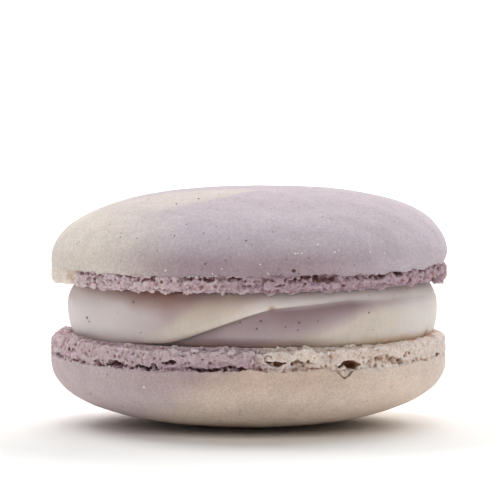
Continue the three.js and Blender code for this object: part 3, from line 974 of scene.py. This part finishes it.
def tinted(tree, base, amount, tint, strength=1.0, blend="MIX"):
    # colours a part of the surface, by a mark of the piece or a pattern
    if isinstance(amount, str):
        amount = add(tree, "Attribute", attribute_name=amount).outputs["Fac"]
    if strength < 1:
        amount = add(tree, "Math", {0: amount, 1: strength}, operation="MULTIPLY").outputs[0]
    # a mix node takes colours at 6 and 7, and gives one at 2
    return add(tree, "Mix", {0: amount, 6: base, 7: tint}, data_type="RGBA", blend_type=blend).outputs[2]


def marbling(tree, where, lavender, cream, breakUp):
    # the two batters, mixed by the piece's cream mark, with a broken boundary
    mark = add(tree, "Attribute", attribute_name="cream").outputs["Fac"]
    wisps = add(tree, "TexNoise", {"Vector": where, "Scale": perMetre(1.5), "Detail": 3.0})
    centred = add(tree, "Math", {0: wisps.outputs["Fac"], 1: 0.5}, operation="SUBTRACT")
    moved = add(tree, "Math", {0: centred.outputs[0], 1: breakUp, 2: mark},
                operation="MULTIPLY_ADD", use_clamp=True)
    return tinted(tree, colour(lavender), moved.outputs[0], colour(cream))


def relief(tree, where, size, depth, below):
    # raises and sinks the surface by depth mm in lumps of one size
    bumps = add(tree, "TexNoise", {"Vector": where, "Scale": perMetre(size), "Detail": 3.0})
    inputs = {"Height": bumps.outputs["Fac"], "Distance": depth / 1000, "Strength": 1.0}
    if below:
        inputs["Normal"] = below
    return add(tree, "Bump", inputs).outputs[0]


def makeFinish(name, look):
    material, shader = newMaterial(name, look["shader"])
    tree = material.node_tree
    where = add(tree, "TexCoord").outputs["Object"]
    patterns = {key: dotsOf(tree, where, *dots) for key, dots in look.get("dots", {}).items()}
    if "stains" in look:
        patterns["stains"] = patchesOf(tree, where, *look["stains"])

    tone = marbling(tree, where, *look["batters"]) if "batters" in look else colour(look["plain"])[:3]
    for patch in look["patches"]:
        tone = mottled(tree, where, tone, *patch)
    for part, tint, *how in look.get("tints", []):
        tint = colour(tint) if isinstance(tint, str) else marbling(tree, where, *tint)
        tone = tinted(tree, tone, patterns.get(part, part), tint, *how)
    tree.links.new(tone, shader.inputs["Base Color"])

    bump = None
    for size, depth in look.get("relief", []):
        bump = relief(tree, where, size, depth, bump)
    if "pinholes" in patterns:
        inputs = {"Height": patterns["pinholes"], "Distance": look["pinholeDepth"] / 1000, "Normal": bump}
        bump = add(tree, "Bump", inputs, invert=True).outputs[0]
    if bump:
        tree.links.new(bump, shader.inputs["Normal"])
    return material


# The set: a white table, soft light from behind, overhead and the front, and the camera.
whiteTable = {"radius": 0.6, "sides": 96, "colour": "f7f6f4"}
softboxes = {  # place and size in metres, and watts
    "back softbox": ((0.13, 0.68, 0.40), 0.5, 3.6),
    "top softbox": ((0.0, 0.18, 0.8), 0.4, 1.6),
    "left softbox": ((-0.4, 0.36, 0.59), 0.45, 2.65),
    "right softbox": ((0.47, 0.41, 0.5), 0.45, 2.2),
    "front softbox": ((0.0, -0.7, 0.5), 0.6, 1.9),
}
lightAim = (0, 0, 0.015)
room = {"asLight": 0.27, "asBackground": 1.1}
cameraView = {"aim": (0.00014, 0, 0.0198), "distance": 0.56, "elevation": 3.8, "degreesAcross": 5.82}


def makeTable():
    corners = onRim(np.arange(whiteTable["sides"]) * 360 / whiteTable["sides"], whiteTable["radius"], 0.0)
    mesh = bpy.data.meshes.new("white_table")
    mesh.from_pydata(corners.tolist(), [], [list(range(len(corners)))])
    paper = {"Base Color": colour(whiteTable["colour"]), "Roughness": 1.0, "Specular IOR Level": 0.0}
    mesh.materials.append(newMaterial("white paper", paper)[0])
    newObject("white_table", mesh)


def setUp(name, thing, place, towards):
    # a camera or a light, turned to look in one direction
    holder = newObject(name, thing)
    holder.location = place
    holder.rotation_mode = "QUATERNION"
    holder.rotation_quaternion = towards.to_track_quat("-Z", "Y")
    return holder


def makeLight():
    for name, (place, size, watts) in softboxes.items():
        light = bpy.data.lights.new(name, "AREA")
        light.shape = "SQUARE"
        light.size, light.energy = size, watts
        setUp(name, light, place, Vector(lightAim) - Vector(place))
    # the room is white to the camera and dimmer as a light
    world = bpy.data.worlds.new("white room")
    scene.world = world
    world.use_nodes = True
    tree = world.node_tree
    tree.nodes.clear()
    seen = add(tree, "LightPath").outputs["Is Camera Ray"]
    dim = add(tree, "Background", {"Color": (1, 1, 1, 1), "Strength": room["asLight"]})
    white = add(tree, "Background", {"Color": (1, 1, 1, 1), "Strength": room["asBackground"]})
    both = add(tree, "MixShader", {0: seen, 1: dim.outputs[0], 2: white.outputs[0]})
    add(tree, "OutputWorld", {"Surface": both.outputs[0]})
    scene.view_settings.view_transform = "Standard"


def makeCamera():
    up = math.radians(cameraView["elevation"])
    back = Vector((0, -math.cos(up), math.sin(up)))
    place = Vector(cameraView["aim"]) + back * cameraView["distance"]
    camera = setUp("camera", bpy.data.cameras.new("camera"), place, -back)
    halfAngle = math.radians(cameraView["degreesAcross"] / 2)
    camera.data.lens = camera.data.sensor_width / 2 / math.tan(halfAngle)
    camera.data.clip_start = 0.01
    scene.camera = camera


makeCamera()
makeLight()
makeTable()
print("table, light and camera made")

lowerSurface = makeSkin(lowerShell, creamOnBase, makeFinish("almond meringue skin, tray side, painted bounce light", lowerSkin))
upperSurface = makeSkin(upperShell, creamOnTop, makeFinish("almond meringue skin", upperSkin))
fillingSurface = makeFilling(makeFinish("buttercream", butterCream))
makeFlecks("dark", [lowerSurface, upperSurface])
makeFlecks("pale", [lowerSurface, upperSurface])
makeFlecks("brown", [fillingSurface])
print("skins, filling and flecks made")
crumbFinish = makeFinish("meringue crumb", meringueCrumb)
makeFoot(lowerShell, creamOnBaseFoot, crumbFinish)
makeFoot(upperShell, creamOnTopFoot, crumbFinish)
makeLooseCrumbs(crumbFinish)
print("feet and crumbs made")
